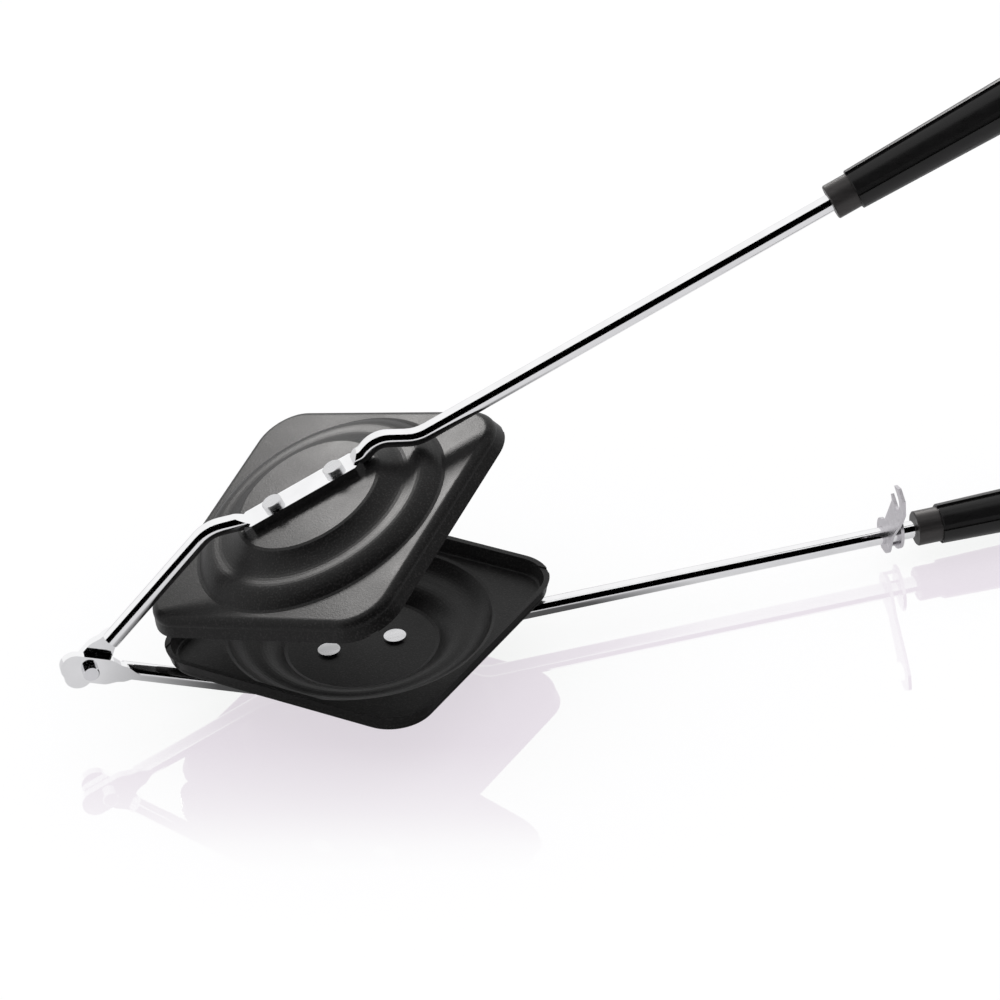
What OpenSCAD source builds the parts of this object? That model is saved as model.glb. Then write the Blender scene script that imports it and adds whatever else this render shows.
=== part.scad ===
// Hinged pie iron for toasting a filled slice of bread over a gas flame.
// Two identical halves, one turned over, meet rim to rim and are pinned at one end.
// Each half is drawn once in its own frame: the hinge axis lies along Y at the origin,
// the rod runs out along +X, the rim lies in the plane z = 0 and the back faces +Z.

/* [Pans] */
// Side of the square rim, over the outside
pan_side = 108; // [106:1:110]
// Corner radius of the rim
corner_r = 17; // [15:1:19]
// Distance from the hinge axis to the middle of the pan
pan_x = 96.6; // [94.6:0.5:98.6]
// Sheet thickness
wall = 2; // [1.6:0.1:2.2]
// Height of the skirt, from the rim to the flat shoulder
skirt_h = 7.2; // [6.8:0.1:7.6]
// How far each wall leans in over the height of the skirt
draft = 1.3; // [0.8:0.1:1.6]
// Outer radius of the rounded shoulder
shoulder_r = 3.2; // [2.8:0.1:4]
// Height of the raised middle disc above the rim
disc_h = 16.9; // [16.6:0.1:17.2]
// Height of the pressed ring between the disc and the shoulder
ring_h = 12; // [11.6:0.1:12.4]
// Radius of the raised middle disc
disc_r = 27; // [25:0.5:28]
// Radius of the crest of the pressed ring
ring_r = 38; // [36:0.5:39]
// Radius at which the pressed middle meets the flat shoulder
terrace_r = 47.5; // [45:0.5:48]

/* [Rods] */
// Diameter of the round rod
rod_d = 6.3; // [6:0.1:6.4]
// Distance from the rim plane to the middle of the straight handle run
run_z = 15; // [14.6:0.1:15.4]
// Rise of the hinge end of the rod, in degrees from the rim plane
hinge_rise = 21.8; // [21.4:0.1:22.2]
// Width of the flattened strip that is riveted to the pan
strip_w = 10; // [9:0.5:11]
// Thickness of the flattened strip
strip_t = 3; // [2.8:0.1:3.2]

/* [Hinge] */
// Diameter of the hinge pin
pin_d = 4; // [3.6:0.1:4.4]
// Height of the flattened hinge paddle
paddle_w = 10; // [9:0.5:10.5]
// How far the paddle reaches beyond the pin
paddle_tail = 10.5; // [9.5:0.5:11]
// Distance from the pin to the step where the round rod begins
paddle_step = 12; // [11.5:0.5:13]

/* [Rivets] */
// Distance between the two pan rivets
rivet_gap = 24; // [22:1:26]
// Diameter of the flat outer rivet heads
rivet_head_d = 7.2; // [6.8:0.1:7.6]
// Height of the flat outer rivet heads
rivet_head_h = 2; // [1.6:0.1:2.2]

/* [Handles] */
// Distance from the hinge axis to the front of the ferrule
ferrule_x = 302.5; // [298:0.5:306]
// Outer diameter of the ferrule
ferrule_d = 12.7; // [12.4:0.1:13]
// Length of the ferrule
ferrule_len = 9; // [8.5:0.5:10]
// Length of the grip behind the ferrule
grip_len = 115; // [105:1:120]
// Grip diameter at the ferrule
grip_front_d = 14.6; // [14.2:0.1:15]
// Grip diameter at its widest
grip_back_d = 19.2; // [18:0.1:20]
// Number of long grooves round the grip
groove_count = 5; // [4:1:6]
// Width of each groove
groove_w = 2.2; // [1.6:0.1:2.4]
// Depth of each groove
groove_depth = 0.9; // [0.6:0.1:1.2]

/* [Latch] */
// Distance from the hinge axis to the hooked leaf of the latch
latch_x = 290.4; // [280:0.1:292]
// Sheet thickness of the latch
latch_t = 1.2; // [1:0.1:1.4]
// Distance between the two leaves, over the outside
latch_len = 6.2; // [5.6:0.1:7]

/* [Pose] */
// Opening angle between the two rims
open_deg = 21.5; // [0:0.5:90]
// Lean of the latch away from upright
latch_lean = 34; // [0:1:90]

/* [Hidden] */
$fn = 64;
// Clearances: running fit on a shaft, half the gap between the closed rims, and between leaves
run_fit = 0.05;
rim_gap = 0.1;
lap_gap = 0.15;
rod_r = rod_d / 2;
half_side = pan_side / 2;

// The rod's middle line in the XZ plane, from the hinge to the handle
touch_z = disc_h + rod_r;
first_x = 61;
hump_z = 22.9;
rod_path = [
    [0, 0],
    [first_x, first_x * tan(hinge_rise)],
    [pan_x - 23, touch_z],
    [pan_x + 23.5, touch_z],
    [pan_x + 30, hump_z],
    [pan_x + 42.3, run_z],
    [ferrule_x + ferrule_len + grip_len - 8, run_z]
];
// Bend radius at each corner of that line
bend_r = [0, 12, 9, 5, 8, 14, 0];
// A bend swells by this much, and the straight legs reach this far into it
bend_swell = 0.02;
bend_grip = 0.3;

// The flattened strip: where it is full width, how it narrows to the rod, and the rod's pressed slope
strip_start = pan_x - 22;
strip_end = pan_x + 19;
strip_taper = 3;
strip_neck = rod_r - 0.6;
press_ramp = 3.2;

// The hinge paddle narrows to the rod's width, then its flat side fades out on the rod
neck_start = paddle_w / 2 + 1;
neck_end = paddle_step;
fade_end = paddle_step + 6;
fade_half = 0.8;

// Half width and drop of the eased corners of the pressed middle, and half width of the ring's flat crest
edge_ease = 0.6;
edge_drop = 0.35;
crest_half = 0.8;

// The grip: a spigot into the ferrule, and a recess at the end for the washer and nut
grip_x = ferrule_x + ferrule_len;
grip_end = grip_x + grip_len;
grip_round = 10;
// How far each grip's grooves are turned round its axis, in degrees
lower_grip_turn = 55;
upper_grip_turn = 19;
grip_slope = atan((grip_back_d - grip_front_d) / 2 / (grip_len - grip_round));
spigot_r = 5.2;
spigot_len = 6;
recess_r = 6.4;
recess_len = 7;
recess_lip = 1.2;
thread_d = 5;
thread_lead = 0.5;
nut_flats = 8;
nut_h = 4;
washer_t = 1;
washer_r = 5.8;

// The hinge: the pin's flat head on the front, then the two paddles, a washer and the peened end
pin_head_d = 5.8;
pin_head_h = 2.6;
head_chamfer = 0.3;
paddle_t = 3.1;
hinge_washer_t = 0.8;
hinge_washer_r = 4.4;
peen_r = 3.3;
peen_h = 1.8;

// The rivets, and how far pieces of one solid reach into each other
rivet_shank_d = 4;
inner_head_d = 8;
inner_head_h = 0.9;
bite = 0.2;

// The closed rods lie this far apart, and the latch spans them
rod_span = 2 * run_z;
hook_fit = 0.35;
hook_lip = 3.6;
hub_r = 6.6;
// Left and right edges of the hooked leaf at its waist, round its slot and at its top
hook_waist = [-5.4, 2.6];
hook_waist_z = 9;
hook_reach = [-7.4, 4.4];
hook_top = [-4.2, 1.2];
// Heights of the hook's widest stretch, from the middle of its slot, and of the slope under its lip
hook_back = [-4, 2];
hook_step = 1.5;
bridge_w = 4.4;

// The middle of the first bend, whose underside is the lowest point of the iron
hump_low = bend_centre(1)[1] + bend_r[1] + rod_r;
paddle_low_x = -(paddle_tail - paddle_w / 2) * cos(hinge_rise) - paddle_w / 2;
mid_x = (grip_end + paddle_low_x) / 2;

// ---- placing the two halves ----

// The iron stands on its lowest bend, with the middle of its length over the origin
module stand() { translate([-mid_x, 0, hump_low]) children(); }
module lower_half() { stand() rotate([180, 0, 0]) children(); }
module upper_half() { stand() rotate([0, -open_deg, 0]) children(); }

// ---- the rod's middle line ----

function unit(v) = v / norm(v);
function leg(i) = unit(rod_path[i + 1] - rod_path[i]);
function turn(i) = acos(leg(i - 1) * leg(i));
function tangent_len(i) = bend_r[i] * tan(turn(i) / 2);
function bend_centre(i) =
    rod_path[i] + unit(leg(i) - leg(i - 1)) * bend_r[i] / cos(turn(i) / 2);
function leg_start(i) = rod_path[i] + (i == 0 ? 0 : tangent_len(i)) * leg(i);
function leg_end(i) =
    rod_path[i + 1] - (i + 2 == len(rod_path) ? 0 : tangent_len(i + 1)) * leg(i);
function slope(v) = atan2(v[1], v[0]);

// A round bar between two points of the XZ plane
module bar(p, q, r) {
    translate([p[0], 0, p[1]])
        rotate([0, 90 - slope(q - p), 0])
            cylinder(h = norm(q - p), r = r);
}

// The straight stretch of a leg, running a little way into the bend at each end
module straight(i) {
    bar(leg_start(i) - bend_grip * leg(i), leg_end(i) + bend_grip * leg(i), rod_r);
}

// A quarter of a ring or less, bent in the XZ plane between the legs before and after a corner
module bend(i) {
    centre = bend_centre(i);
    from = slope(leg_end(i - 1) - centre);
    to = slope(leg_start(i) - centre);
    translate([centre[0], 0, centre[1]])
        rotate([90, 0, 0])
            rotate([0, 0, min(from, to)])
                rotate_extrude(angle = turn(i))
                    translate([bend_r[i], 0])
                        circle(r = rod_r + bend_swell);
}

// A smooth step from height a at distance p to height b at distance q
function smooth_step(p, a, q, b) = [
    for (k = [0:8])
        let (t = k / 8) [p + (q - p) * t, a + (b - a) * (3 * t * t - 2 * t * t * t)]
];

// The flattened hinge end: a paddle on one side of the middle plane, so that two of them lap
module paddle() {
    tail = paddle_tail - paddle_w / 2;
    upper_edge = concat(
        [[-tail, paddle_w / 2]],
        smooth_step(neck_start, paddle_w / 2, neck_end, rod_r),
        [for (k = [1:8]) smooth_step(neck_end, rod_r, fade_end, fade_half)[k]]
    );
    last = len(upper_edge) - 1;
    rotate([0, -hinge_rise, 0])
        translate([0, lap_gap + paddle_t, 0])
            rotate([90, 0, 0])
                linear_extrude(height = paddle_t) {
                    translate([-tail, 0])
                        circle(d = paddle_w);
                    polygon(concat(
                        upper_edge,
                        [for (k = [last:-1:0]) [upper_edge[k][0], -upper_edge[k][1]]]
                    ));
                }
}

// The flattened strip on the pan, narrowing to the round rod at each end
module strip() {
    near = strip_start - strip_taper;
    far = strip_end + strip_taper;
    half = strip_w / 2;
    translate([0, 0, disc_h])
        linear_extrude(height = strip_t)
            polygon([
                [near, -strip_neck], [strip_start, -half], [strip_end, -half], [far, -strip_neck],
                [far, strip_neck], [strip_end, half], [strip_start, half], [near, strip_neck]
            ]);
}

// What the press takes off the round rod over the strip, with a slope at each end
module pressing() {
    top = disc_h + strip_t;
    over = disc_h + rod_d + 1;
    slope_len = press_ramp * (over - top) / (rod_d - strip_t);
    translate([0, rod_d, 0])
        rotate([90, 0, 0])
            linear_extrude(height = 2 * rod_d)
                polygon([
                    [strip_start, top], [strip_end, top],
                    [strip_end + slope_len, over], [strip_start - slope_len, over]
                ]);
}

module rivet_places() {
    for (side = [-1, 1])
        translate([pan_x + side * rivet_gap / 2, 0, 0])
            children();
}

module rod() {
    thread_start = grip_end - recess_len - thread_lead;
    thread_end = grip_end - recess_lip;
    color("silver")
        difference() {
            union() {
                paddle();
                bar(paddle_step * leg(0), leg_end(0) + bend_grip * leg(0), rod_r);
                bend(1);
                straight(1);
                bend(2);
                straight(2);
                strip();
                bend(3);
                straight(3);
                bend(4);
                straight(4);
                bend(5);
                bar(leg_start(5) - bend_grip * leg(5), [thread_start, run_z], rod_r);
                bar([thread_start - 1, run_z], [thread_end, run_z], thread_d / 2);
            }
            pressing();
            rotate([90, 0, 0])
                cylinder(h = 4 * rod_d, d = pin_d + 2 * run_fit, center = true);
            rivet_places()
                cylinder(h = 4 * disc_h, d = rivet_shank_d + 2 * run_fit, center = true);
        }
}

// ---- the pan ----

// Outline of a skirt across one half, inset by the sheet thickness for the inside:
// a leaning wall, a rounded shoulder and the flat top
function skirt_outline(half, inset) =
    let (
        top = skirt_h - inset,
        r = shoulder_r - inset,
        lean = atan(draft / (skirt_h - shoulder_r)),
        edge = half - inset,
        corner = [edge - draft - r, top - r]
    )
    concat(
        [[0, rim_gap], [edge, rim_gap]],
        [for (a = [0:9:90]) corner + r * [cos(a), sin(a)]],
        [[0, top]]
    );

// A rounded square block with the skirt's outline: two crossing bands and four round corners
module skirt_block(inset) {
    straight = pan_side - 2 * corner_r;
    outline = skirt_outline(half_side, inset);
    for (quarter = [0, 90])
        rotate([0, 0, quarter])
            translate([0, straight / 2, 0])
                rotate([90, 0, 0])
                    linear_extrude(height = straight) {
                        polygon(outline);
                        mirror([1, 0])
                            polygon(outline);
                    }
    for (x = [-1, 1], y = [-1, 1])
        translate([x * straight / 2, y * straight / 2, 0])
            rotate_extrude($fn = 96)
                polygon(skirt_outline(corner_r, inset));
}

// A curved fall from height a at radius p to height b at radius q, steepest where it starts or ends
function fall(p, a, q, b, steep_start) = [
    for (k = [0:8])
        let (t = k / 8, left = steep_start ? (1 - t) * (1 - t) : 1 - t * t)
            [p + (q - p) * t, b + (a - b) * left]
];

// The pressed middle: a disc, a crested ring one fall down, and a second fall to the shoulder
module terraces(inset) {
    disc_z = disc_h - inset;
    ring_z = ring_h - inset;
    flat_z = skirt_h - inset;
    rotate_extrude($fn = 128)
        polygon(concat(
            [[0, rim_gap], [0, disc_z], [disc_r - edge_ease, disc_z]],
            fall(disc_r + edge_ease, disc_z - edge_drop, ring_r - crest_half, ring_z, true),
            fall(ring_r + crest_half, ring_z, terrace_r - edge_ease, flat_z + edge_drop, false),
            [[terrace_r + edge_ease, flat_z], [terrace_r + edge_ease, rim_gap]]
        ));
}

module pan() {
    color("#1d1d1f")
        difference() {
            translate([pan_x, 0, 0])
                rotate([0, 0, 45])
                    difference() {
                        union() {
                            skirt_block(0);
                            terraces(0);
                        }
                        translate([0, 0, -0.5])
                            linear_extrude(height = 1)
                                square(pan_side - 4 * wall, center = true);
                        skirt_block(wall);
                        terraces(wall);
                    }
            rivet_places()
                cylinder(h = 4 * disc_h, d = rivet_shank_d + 2 * run_fit, center = true);
        }
}

// ---- small pieces of a half ----

// A flat round head with a chamfered edge
module flat_head(d, h) {
    cylinder(h = h - head_chamfer, d = d);
    translate([0, 0, h - head_chamfer])
        cylinder(h = head_chamfer, d1 = d, d2 = d - 2 * head_chamfer);
}

module pan_rivets() {
    color("whitesmoke")
        rivet_places() {
            inside = disc_h - wall;
            outside = disc_h + strip_t;
            translate([0, 0, inside - inner_head_h])
                cylinder(h = inner_head_h, d = inner_head_d);
            translate([0, 0, inside - bite])
                cylinder(h = outside - inside + 2 * bite, d = rivet_shank_d);
            translate([0, 0, outside])
                flat_head(rivet_head_d, rivet_head_h);
        }
}

// Turns a shape drawn along Z into one along the handle's axis, from a distance x
module along_handle(x) {
    translate([x, 0, run_z])
        rotate([0, 90, 0])
            children();
}

module ferrule() {
    rim = 0.4;
    front_wall = ferrule_len - spigot_len - 0.1;
    color("dimgray")
        along_handle(ferrule_x)
            rotate_extrude()
                polygon([
                    [rod_r + run_fit, 0], [ferrule_d / 2 - rim, 0], [ferrule_d / 2, rim],
                    [ferrule_d / 2, ferrule_len], [spigot_r + run_fit, ferrule_len],
                    [spigot_r + run_fit, front_wall], [rod_r + run_fit, front_wall]
                ]);
}

module grip(grooves_turn) {
    front_r = grip_front_d / 2;
    back_r = grip_back_d / 2;
    straight = grip_len - grip_round;
    end_r = recess_r + recess_lip;
    color("#161616")
        along_handle(grip_x)
            difference() {
                rotate_extrude($fn = 96)
                    polygon(concat(
                        [[rod_r + run_fit, -spigot_len], [spigot_r, -spigot_len]],
                        [[spigot_r, 0], [front_r - head_chamfer, 0], [front_r, head_chamfer]],
                        [
                            for (a = [0:9:90])
                                [end_r + (back_r - end_r) * cos(a), straight + grip_round * sin(a)]
                        ],
                        [[recess_r, grip_len], [recess_r, grip_len - recess_len]],
                        [[rod_r + run_fit, grip_len - recess_len]]
                    ));
                for (k = [0:groove_count - 1])
                    rotate([0, 0, grooves_turn + 360 * k / groove_count])
                        translate([0, front_r - groove_depth, 0])
                            rotate([-grip_slope, 0, 0])
                                translate([-groove_w / 2, 0, -1])
                                    cube([groove_w, 2 * groove_depth, straight]);
            }
}

module grip_washer() {
    color("silver")
        along_handle(grip_end - recess_len)
            difference() {
                cylinder(h = washer_t, r = washer_r);
                translate([0, 0, -1])
                    cylinder(h = washer_t + 2, d = thread_d + 4 * run_fit);
            }
}

module grip_nut() {
    corner_d = nut_flats / cos(30);
    color("silver")
        along_handle(grip_end - recess_len + washer_t)
            difference() {
                cylinder(h = nut_h, d = corner_d, $fn = 6);
                translate([0, 0, -1])
                    cylinder(h = nut_h + 2, d = thread_d + 2 * run_fit);
            }
}

// ---- the hinge pin, through both paddles ----

module hinge_pin() {
    near = lap_gap + paddle_t + run_fit;
    far = near + hinge_washer_t + run_fit;
    color("gainsboro")
        stand()
            rotate([-90, 0, 0]) {
                translate([0, 0, -near])
                    mirror([0, 0, 1])
                        flat_head(pin_head_d, pin_head_h);
                translate([0, 0, -near - bite])
                    cylinder(h = near + far + 2 * bite, d = pin_d);
                translate([0, 0, far])
                    rotate_extrude()
                        polygon(concat(
                            [[0, 0]],
                            [for (a = [0:10:90]) [peen_r * cos(a), peen_h * sin(a)]]
                        ));
            }
}

module hinge_washer() {
    color("silver")
        stand()
            translate([0, lap_gap + paddle_t + 2 * run_fit, 0])
                rotate([-90, 0, 0])
                    difference() {
                        cylinder(h = hinge_washer_t - run_fit, r = hinge_washer_r);
                        translate([0, 0, -1])
                            cylinder(h = hinge_washer_t + 2, d = pin_d + 2 * run_fit);
                    }
}

// ---- the latch: a folded sheet with two pierced leaves and one hook ----

// Hooked leaf, drawn upright: the hub turns on the lower rod, the slot takes the upper rod
module hook_outline() {
    slot_r = rod_r + hook_fit;
    slot_low = rod_span - slot_r;
    slot_high = rod_span + slot_r;
    top = slot_high + hook_lip;
    difference() {
        union() {
            circle(r = hub_r);
            polygon([
                [-hub_r, 0], [hub_r, 0],
                [hook_waist[1], hook_waist_z], [hook_waist[1], slot_low - hook_step],
                [hook_reach[1], slot_low], [hook_reach[1], slot_high],
                [hook_top[1], top], [hook_top[0], top],
                [hook_reach[0], rod_span + hook_back[1]], [hook_reach[0], rod_span + hook_back[0]],
                [hook_waist[0], hook_waist_z]
            ]);
        }
        translate([0, rod_span])
            circle(r = slot_r);
        translate([0, slot_low])
            square([hook_reach[1] + 1, 2 * slot_r]);
    }
}

// Plain leaf: a pointed oval, made where two circles cross
module plain_outline() {
    tall = 8.6;
    wide = 5.6;
    r = (tall * tall + wide * wide) / (2 * wide);
    intersection() {
        translate([r - wide, 0])
            circle(r = r);
        translate([wide - r, 0])
            circle(r = r);
    }
}

module latch() {
    bridge_low = hub_r + bite;
    color("lightgray")
        stand()
            translate([latch_x, 0, -run_z])
                rotate([latch_lean, 0, 0])
                    difference() {
                        union() {
                            rotate([90, 0, 90])
                                linear_extrude(height = latch_t)
                                    hook_outline();
                            translate([latch_len - latch_t, 0, 0])
                                rotate([90, 0, 90])
                                    linear_extrude(height = latch_t)
                                        plain_outline();
                            translate([0, -bridge_w / 2, -bridge_low])
                                cube([latch_len, bridge_w, latch_t]);
                        }
                        rotate([0, 90, 0])
                            cylinder(h = 4 * latch_len, d = rod_d + 2 * run_fit, center = true);
                    }
}

// ---- one module for each sub-part ----

module lower_pan() { lower_half() pan(); }
module upper_pan() { upper_half() pan(); }
module lower_rod() { lower_half() rod(); }
module upper_rod() { upper_half() rod(); }
module lower_pan_rivets() { lower_half() pan_rivets(); }
module upper_pan_rivets() { upper_half() pan_rivets(); }
module lower_ferrule() { lower_half() ferrule(); }
module upper_ferrule() { upper_half() ferrule(); }
module lower_grip() { lower_half() grip(lower_grip_turn); }
module upper_grip() { upper_half() grip(upper_grip_turn); }
module lower_grip_washer() { lower_half() grip_washer(); }
module upper_grip_washer() { upper_half() grip_washer(); }
module lower_grip_nut() { lower_half() grip_nut(); }
module upper_grip_nut() { upper_half() grip_nut(); }

lower_pan();
upper_pan();
lower_rod();
upper_rod();
lower_pan_rivets();
upper_pan_rivets();
hinge_pin();
hinge_washer();
lower_ferrule();
upper_ferrule();
lower_grip();
upper_grip();
lower_grip_washer();
upper_grip_washer();
lower_grip_nut();
upper_grip_nut();
latch();
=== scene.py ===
"""Looks of the hinged pie iron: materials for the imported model's own meshes, a glossy white table,
soft lamps and the photograph's camera. Lengths are in metres and colours are linear."""

import bpy
from mathutils import Matrix, Vector


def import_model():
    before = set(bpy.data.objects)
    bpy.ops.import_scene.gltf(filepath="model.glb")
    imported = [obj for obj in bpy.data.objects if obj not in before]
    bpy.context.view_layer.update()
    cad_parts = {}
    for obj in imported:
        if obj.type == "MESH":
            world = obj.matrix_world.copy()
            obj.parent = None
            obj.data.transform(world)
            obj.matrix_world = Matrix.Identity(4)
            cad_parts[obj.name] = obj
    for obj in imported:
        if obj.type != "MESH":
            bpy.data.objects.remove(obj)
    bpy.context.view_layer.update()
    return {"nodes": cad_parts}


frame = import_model()
NODES = frame["nodes"]


# ---- colours and finishes ----

COATING = (0.006, 0.0058, 0.0057)
COATING_SPECKS = (0.026, 0.025, 0.0245)
COATING_ROUGH = (0.32, 0.38)
COATING_SHINE = 0.16
CHROME = (0.93, 0.93, 0.94)
CHROME_ROUGH = 0.09
RIVET_METAL = (0.7, 0.7, 0.71)
RIVET_ROUGH = 0.28
PIN_PLATE = (0.8, 0.8, 0.82)
PIN_ROUGH = 0.16
ZINC = (0.72, 0.73, 0.75)
ZINC_ROUGH = 0.28
LATCH_PLATE = (0.66, 0.64, 0.67)
LATCH_ROUGH = 0.34
# The plate's duller patches, against the rest, and the spread of its roughness
PLATE_PATCHES = 0.93
PLATE_SPREAD = 0.3

FERRULE_GREY = (0.05, 0.047, 0.046)
FERRULE_ROUGH, FERRULE_METALLIC, FERRULE_SHINE = 0.38, 0.5, 0.3
GRIP_BLACK = (0.009, 0.0088, 0.0088)
GRIP_ROUGH, GRIP_METALLIC, GRIP_SHINE = 0.3, 0.0, 0.28
# How far the fine marks lighten and darken a satin surface, and the spread of its roughness
SATIN_CONTRAST = 1.25
SATIN_SPREAD = 0.15

# Texture scales, in repeats per metre, relief depths, and how strongly the relief shows
SPRAY_SCALE, SPRAY_DEPTH, SPRAY_RELIEF = 1500, 0.00009, 0.6
SPRAY_CLOUD_SCALE = 60
DRAWN_SCALE, DRAWN_DEPTH, DRAWN_RELIEF = 500, 0.00002, 0.25
PLATE_CLOUD_SCALE = 90
FERRULE_SCALE, FERRULE_DEPTH = 700, 0.00001
GRIP_SCALE, GRIP_DEPTH = 600, 0.00003
SATIN_RELIEF = 0.4
# The fine marks run along the rods, the ferrules and the grips
DRAWN_STRETCH = (0.12, 1, 1)
FERRULE_STRETCH = (0.1, 1, 1)
GRIP_STRETCH = (0.3, 1, 1)


# ---- table, lamps and camera ----

# What the table gives back on its own, and what it mirrors: together they make white
FLOOR_OWN = (0.83, 0.78, 0.835)
FLOOR_MIRROR = (0.17, 0.22, 0.165)
FLOOR_DIFFUSE_SHARE = 0.3
FLOOR_GLOW = 1.15
FLOOR_REACH = 6.0
FLOOR_DROP = 0.0003
# The mirror images fade out along this direction on the table, between these distances
FADE_SLOPE = 0.377
FADE_RANGE = (-0.17, -0.08)
FADE_STOPS = [(0.05, 0.0), (0.22, 0.15), (0.44, 0.55), (0.58, 0.72), (0.9, 1.0)]
# Reflections on the iron see the table with painted shade: dark under the pans and pale further out
PAN_MIDDLE = (-0.095, 0, 0)
PAINTED_SHADE_UNDER_PANS_STOPS = [(0.07, 0.12), (0.115, 0.85)]
UNDER_PANS_DIFFUSE_SHARE = 0.6

AMBIENT = (0.98, 0.97, 1.0, 1)
AMBIENT_STRENGTH = 0.7
LAMP_WHITE = (1.0, 0.98, 0.965)

# Two black cards, one overhead and one in front, meet at the front top edge: the chrome's dark bands
CARD_SIDE = 6
CARD_FRONT_Y, CARD_BACK_Y = -2.6, -0.5
CARD_TOP_Z = 1.7

LENS_MM = 154.934
SENSOR_MM = 36.0
CAMERA_CLIP = (0.05, 50)
CAMERA_PLACE = (-0.315245, -1.246948, 0.863154)
CAMERA_TURN = (
    (0.965186, 0.197638, -0.171334),
    (-0.249755, 0.501766, -0.828162),
    (-0.077707, 0.842122, 0.533659),
)


# ---- node helpers ----

def new_material(name):
    """A new material with a Principled shader; returns the material, its nodes and the shader."""
    mat = bpy.data.materials.new(name)
    mat.use_nodes = True
    return mat, mat.node_tree, mat.node_tree.nodes["Principled BSDF"]


def bare_material(name):
    """A new material without nodes; returns the material and its empty tree."""
    mat = bpy.data.materials.new(name)
    mat.use_nodes = True
    mat.node_tree.nodes.clear()
    return mat, mat.node_tree


def node(tree, kind, **values):
    """A new node; each value sets the input of that name, or else the property."""
    made = tree.nodes.new(kind)
    for key, value in values.items():
        if key in made.inputs:
            made.inputs[key].default_value = value
        else:
            setattr(made, key, value)
    return made


def object_point(tree, scale=(1, 1, 1)):
    """Object coordinates, stretched by scale."""
    coords = node(tree, "ShaderNodeTexCoord")
    mapping = node(tree, "ShaderNodeMapping", Scale=scale)
    tree.links.new(coords.outputs["Object"], mapping.inputs["Vector"])
    return mapping.outputs["Vector"]


def noise(tree, vector, scale, detail=3.0, roughness=0.55):
    made = node(tree, "ShaderNodeTexNoise", Scale=scale, Detail=detail, Roughness=roughness)
    tree.links.new(vector, made.inputs["Vector"])
    return made.outputs["Fac"]


def ramp(tree, value, stops):
    """A colour ramp; stops are (position, grey or colour)."""
    made = node(tree, "ShaderNodeValToRGB")
    elements = made.color_ramp.elements
    while len(elements) < len(stops):
        elements.new(0.5)
    for element, (place, colour) in zip(elements, stops):
        element.position = place
        element.color = (colour, colour, colour, 1) if isinstance(colour, float) else (*colour, 1)
    tree.links.new(value, made.inputs["Fac"])
    return made.outputs["Color"]


def spread(value, share):
    """The value less and plus its share."""
    return value * (1 - share), value * (1 + share)


def bump(tree, shader, height, strength, distance):
    made = node(tree, "ShaderNodeBump", Strength=strength, Distance=distance)
    tree.links.new(height, made.inputs["Height"])
    tree.links.new(made.outputs["Normal"], shader.inputs["Normal"])


def tinted(tree, factor, first, second):
    """A mix of two colours."""
    made = node(tree, "ShaderNodeMix", data_type="RGBA")
    colour_a, colour_b, colour_out = made.inputs[6], made.inputs[7], made.outputs[2]
    tree.links.new(factor, made.inputs[0])
    colour_a.default_value = (*first, 1)
    colour_b.default_value = (*second, 1)
    return colour_out


def mixed(tree, factor, first, second):
    """A mix of two shaders; the factor is a number or an output."""
    made = node(tree, "ShaderNodeMixShader")
    if isinstance(factor, float):
        made.inputs["Fac"].default_value = factor
    else:
        tree.links.new(factor, made.inputs["Fac"])
    tree.links.new(first, made.inputs[1])
    tree.links.new(second, made.inputs[2])
    return made.outputs[0]


def dress(mat, *names):
    """Give the material to the named pieces."""
    for name in names:
        slots = NODES[name].data.materials
        slots.clear()
        slots.append(mat)


# ---- materials ----

def non_stick():
    """Sprayed black coating: satin, with the fine grain of the spray and a few lighter specks."""
    mat, tree, shader = new_material("non_stick_black")
    point = object_point(tree)
    grain = noise(tree, point, SPRAY_SCALE, detail=3, roughness=0.6)
    broad = noise(tree, point, SPRAY_CLOUD_SCALE, detail=3)
    smooth, rough = COATING_ROUGH
    shader.inputs["Specular IOR Level"].default_value = COATING_SHINE
    tree.links.new(ramp(tree, grain, [(0.5, COATING), (0.72, COATING_SPECKS)]), shader.inputs["Base Color"])
    tree.links.new(ramp(tree, broad, [(0.3, smooth), (0.7, rough)]), shader.inputs["Roughness"])
    bump(tree, shader, grain, SPRAY_RELIEF, SPRAY_DEPTH)
    return mat


def chrome(name, colour, rough):
    """Bright plate over drawn steel: nearly a mirror, a little wavy along its length."""
    mat, tree, shader = new_material(name)
    shader.inputs["Metallic"].default_value = 1.0
    drawn = noise(tree, object_point(tree, DRAWN_STRETCH), DRAWN_SCALE, detail=4)
    broad = noise(tree, object_point(tree), PLATE_CLOUD_SCALE, detail=2)
    least, most = spread(rough, PLATE_SPREAD)
    patches = tuple(PLATE_PATCHES * c for c in colour)
    tree.links.new(ramp(tree, broad, [(0.3, patches), (0.7, colour)]), shader.inputs["Base Color"])
    tree.links.new(ramp(tree, drawn, [(0.25, least), (0.75, most)]), shader.inputs["Roughness"])
    bump(tree, shader, drawn, DRAWN_RELIEF, DRAWN_DEPTH)
    return mat


def satin(name, colour, rough, stretch, scale, depth, metallic, shine):
    """A satin surface with fine marks that run one way."""
    mat, tree, shader = new_material(name)
    shader.inputs["Metallic"].default_value = metallic
    shader.inputs["Specular IOR Level"].default_value = shine
    fine = noise(tree, object_point(tree, stretch), scale, detail=5, roughness=0.6)
    least, most = spread(rough, SATIN_SPREAD)
    dark = tuple(c / SATIN_CONTRAST for c in colour)
    light = tuple(c * SATIN_CONTRAST for c in colour)
    tree.links.new(ramp(tree, fine, [(0.3, dark), (0.75, light)]), shader.inputs["Base Color"])
    tree.links.new(ramp(tree, fine, [(0.2, least), (0.8, most)]), shader.inputs["Roughness"])
    bump(tree, shader, fine, SATIN_RELIEF, depth)
    return mat


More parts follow.
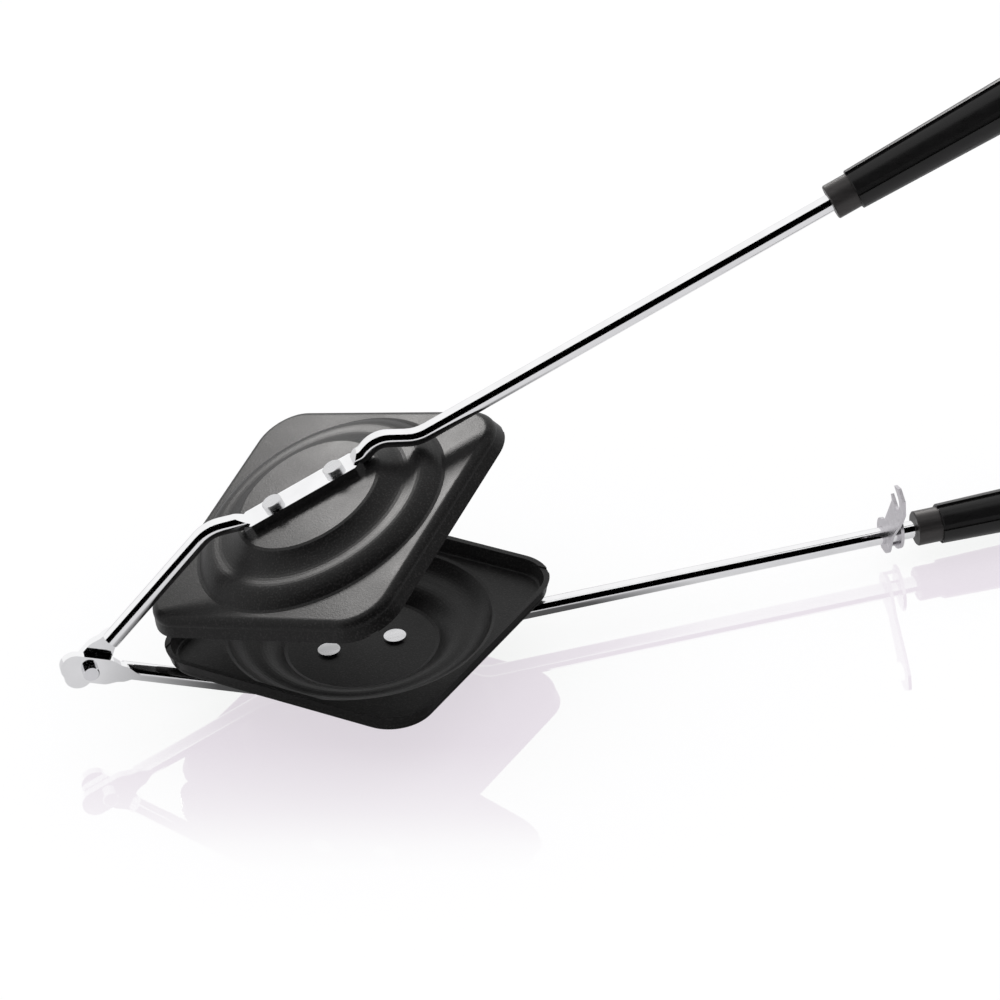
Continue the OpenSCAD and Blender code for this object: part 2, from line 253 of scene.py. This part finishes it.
dress(non_stick(), "lower_pan", "upper_pan")
dress(chrome("chrome_rod", CHROME, CHROME_ROUGH), "lower_rod", "upper_rod")
dress(chrome("bright_rivet", RIVET_METAL, RIVET_ROUGH), "lower_pan_rivets", "upper_pan_rivets")
dress(chrome("hinge_pin_plate", PIN_PLATE, PIN_ROUGH), "hinge_pin", "hinge_washer")
dress(satin("ferrule_grey", FERRULE_GREY, FERRULE_ROUGH, FERRULE_STRETCH, FERRULE_SCALE, FERRULE_DEPTH,
            FERRULE_METALLIC, FERRULE_SHINE), "lower_ferrule", "upper_ferrule")
dress(satin("moulded_black", GRIP_BLACK, GRIP_ROUGH, GRIP_STRETCH, GRIP_SCALE, GRIP_DEPTH,
            GRIP_METALLIC, GRIP_SHINE), "lower_grip", "upper_grip")
dress(chrome("zinc_plate", ZINC, ZINC_ROUGH),
      "lower_grip_washer", "upper_grip_washer", "lower_grip_nut", "upper_grip_nut")
dress(chrome("latch_plate", LATCH_PLATE, LATCH_ROUGH), "latch")


# ---- floor, background, lamps and camera ----

def sheet(name, corners, mat):
    """A flat four-cornered sheet."""
    mesh = bpy.data.meshes.new(name)
    mesh.from_pydata(corners, [], [(0, 1, 2, 3)])
    mesh.materials.append(mat)
    obj = bpy.data.objects.new(name, mesh)
    bpy.context.scene.collection.objects.link(obj)
    return obj


def seen_rays(tree):
    """1 for camera, glossy and transmission rays, which see the plain white background."""
    path = node(tree, "ShaderNodeLightPath")
    total = path.outputs["Is Camera Ray"]
    for name in ("Is Glossy Ray", "Is Transmission Ray"):
        either = node(tree, "ShaderNodeMath", operation="MAXIMUM")
        tree.links.new(total, either.inputs[0])
        tree.links.new(path.outputs[name], either.inputs[1])
        total = either.outputs[0]
    return total


def fade_weight(tree):
    """1 close to the iron, falling to 0 towards the front of the table."""
    split = node(tree, "ShaderNodeSeparateXYZ")
    tree.links.new(object_point(tree), split.inputs[0])
    along = node(tree, "ShaderNodeMath", operation="MULTIPLY_ADD")
    along.inputs[1].default_value = FADE_SLOPE
    tree.links.new(split.outputs["X"], along.inputs[0])
    tree.links.new(split.outputs["Y"], along.inputs[2])
    place = node(tree, "ShaderNodeMapRange")
    place.inputs["From Min"].default_value = FADE_RANGE[0]
    place.inputs["From Max"].default_value = FADE_RANGE[1]
    tree.links.new(along.outputs[0], place.inputs["Value"])
    return ramp(tree, place.outputs[0], FADE_STOPS)


def painted_shade_under_pans(tree):
    """The table as reflections see it, with painted shade: dark under the pans, pale further out."""
    away = node(tree, "ShaderNodeVectorMath", operation="DISTANCE")
    tree.links.new(object_point(tree), away.inputs[0])
    away.inputs[1].default_value = PAN_MIDDLE
    return ramp(tree, away.outputs["Value"], PAINTED_SHADE_UNDER_PANS_STOPS)


def half_lit(tree, colour, diffuse_share):
    """A surface of this colour that glows, and for its diffuse share takes light and shadow."""
    shaded = node(tree, "ShaderNodeBsdfDiffuse")
    glow = node(tree, "ShaderNodeEmission", Strength=FLOOR_GLOW)
    for shader in (shaded, glow):
        tree.links.new(colour, shader.inputs["Color"])
    return mixed(tree, diffuse_share, glow.outputs[0], shaded.outputs[0])


def floor():
    """A glossy white table: it shows faint mirror images, fading to the front, and a little shadow;
    reflections and bounce light on the iron see it with painted shade under the pans.
    """
    mat, tree = bare_material("floor_white")
    weight = fade_weight(tree)
    own = tinted(tree, weight, (1.0, 1.0, 1.0), FLOOR_OWN)
    gloss = node(tree, "ShaderNodeBsdfGlossy", Roughness=0.0)
    tree.links.new(tinted(tree, weight, (0.0, 0.0, 0.0), FLOOR_MIRROR), gloss.inputs["Color"])
    both = node(tree, "ShaderNodeAddShader")
    tree.links.new(half_lit(tree, own, FLOOR_DIFFUSE_SHARE), both.inputs[0])
    tree.links.new(gloss.outputs[0], both.inputs[1])
    # Painted shade: for all rays but the camera's, the table is coloured darker under the pans
    table_with_painted_shade = half_lit(tree, painted_shade_under_pans(tree), UNDER_PANS_DIFFUSE_SHARE)
    path = node(tree, "ShaderNodeLightPath")
    out = node(tree, "ShaderNodeOutputMaterial")
    surface = mixed(tree, path.outputs["Is Camera Ray"], table_with_painted_shade, both.outputs[0])
    tree.links.new(surface, out.inputs["Surface"])
    reach = FLOOR_REACH
    corners = [(-reach, -reach, 0), (reach, -reach, 0), (reach, reach, 0), (-reach, reach, 0)]
    obj = sheet("floor", corners, mat)
    obj.location.z = -FLOOR_DROP


def world():
    """Soft light all round, and plain white where the camera, the chrome or the table looks past the iron."""
    made = bpy.data.worlds.new("studio")
    bpy.context.scene.world = made
    made.use_nodes = True
    tree = made.node_tree
    tree.nodes.clear()
    ambient = node(tree, "ShaderNodeBackground", Color=AMBIENT, Strength=AMBIENT_STRENGTH)
    white = node(tree, "ShaderNodeBackground", Color=(1, 1, 1, 1), Strength=1.0)
    out = node(tree, "ShaderNodeOutputWorld")
    tree.links.new(mixed(tree, seen_rays(tree), ambient.outputs[0], white.outputs[0]), out.inputs["Surface"])


def dark_card(name, back_y, low_z):
    """A black studio card for the chrome's soft reflections; the table's sharp ones pass through it."""
    mat, tree = bare_material(name)
    black = node(tree, "ShaderNodeEmission", Color=(0, 0, 0, 1), Strength=0.0)
    clear = node(tree, "ShaderNodeBsdfTransparent")
    path = node(tree, "ShaderNodeLightPath")
    out = node(tree, "ShaderNodeOutputMaterial")
    surface = mixed(tree, path.outputs["Is Singular Ray"], black.outputs[0], clear.outputs[0])
    tree.links.new(surface, out.inputs["Surface"])
    corners = [
        (-CARD_SIDE, CARD_FRONT_Y, low_z), (CARD_SIDE, CARD_FRONT_Y, low_z),
        (CARD_SIDE, back_y, CARD_TOP_Z), (-CARD_SIDE, back_y, CARD_TOP_Z),
    ]
    obj = sheet(name, corners, mat)
    obj.visible_camera = False
    obj.visible_diffuse = False
    obj.visible_transmission = False
    obj.visible_shadow = False


def lamp(name, place, target, size, power, lights_only):
    """A rectangular lamp that lights only the named pieces, so the chrome and the table stay unclipped."""
    data = bpy.data.lights.new(name, "AREA")
    data.shape = "RECTANGLE"
    data.size, data.size_y = size
    data.energy = power
    data.color = LAMP_WHITE
    obj = bpy.data.objects.new(name, data)
    bpy.context.scene.collection.objects.link(obj)
    obj.location = place
    obj.rotation_euler = (Vector(target) - Vector(place)).to_track_quat("-Z", "Y").to_euler()
    obj.visible_camera = False
    lit = bpy.data.collections.new("lit_by_" + name)
    for piece in lights_only:
        lit.objects.link(NODES[piece])
    obj.light_linking.receiver_collection = lit


def camera():
    data = bpy.data.cameras.new("camera")
    obj = bpy.data.objects.new("camera", data)
    bpy.context.scene.collection.objects.link(obj)
    data.sensor_width = SENSOR_MM
    data.lens = LENS_MM
    data.clip_start, data.clip_end = CAMERA_CLIP
    obj.matrix_world = Matrix.Translation(CAMERA_PLACE) @ Matrix(CAMERA_TURN).to_4x4()
    bpy.context.scene.camera = obj


floor()
world()
dark_card("card_over", CARD_BACK_Y, CARD_TOP_Z)
dark_card("card_front", CARD_FRONT_Y, 0.0)
lamp("key", place=(-0.2, 0.36, 0.32), target=(-0.1, -0.05, 0.07), size=(0.11, 0.11), power=1.15,
     lights_only=("upper_pan",))
lamp("rim", place=(0.24, 0.53, 0.36), target=(0.165, 0, 0.1), size=(0.4, 0.2), power=1.6,
     lights_only=("lower_grip", "upper_grip", "lower_ferrule", "upper_ferrule"))
camera()
bpy.context.scene.view_settings.view_transform = "Standard"
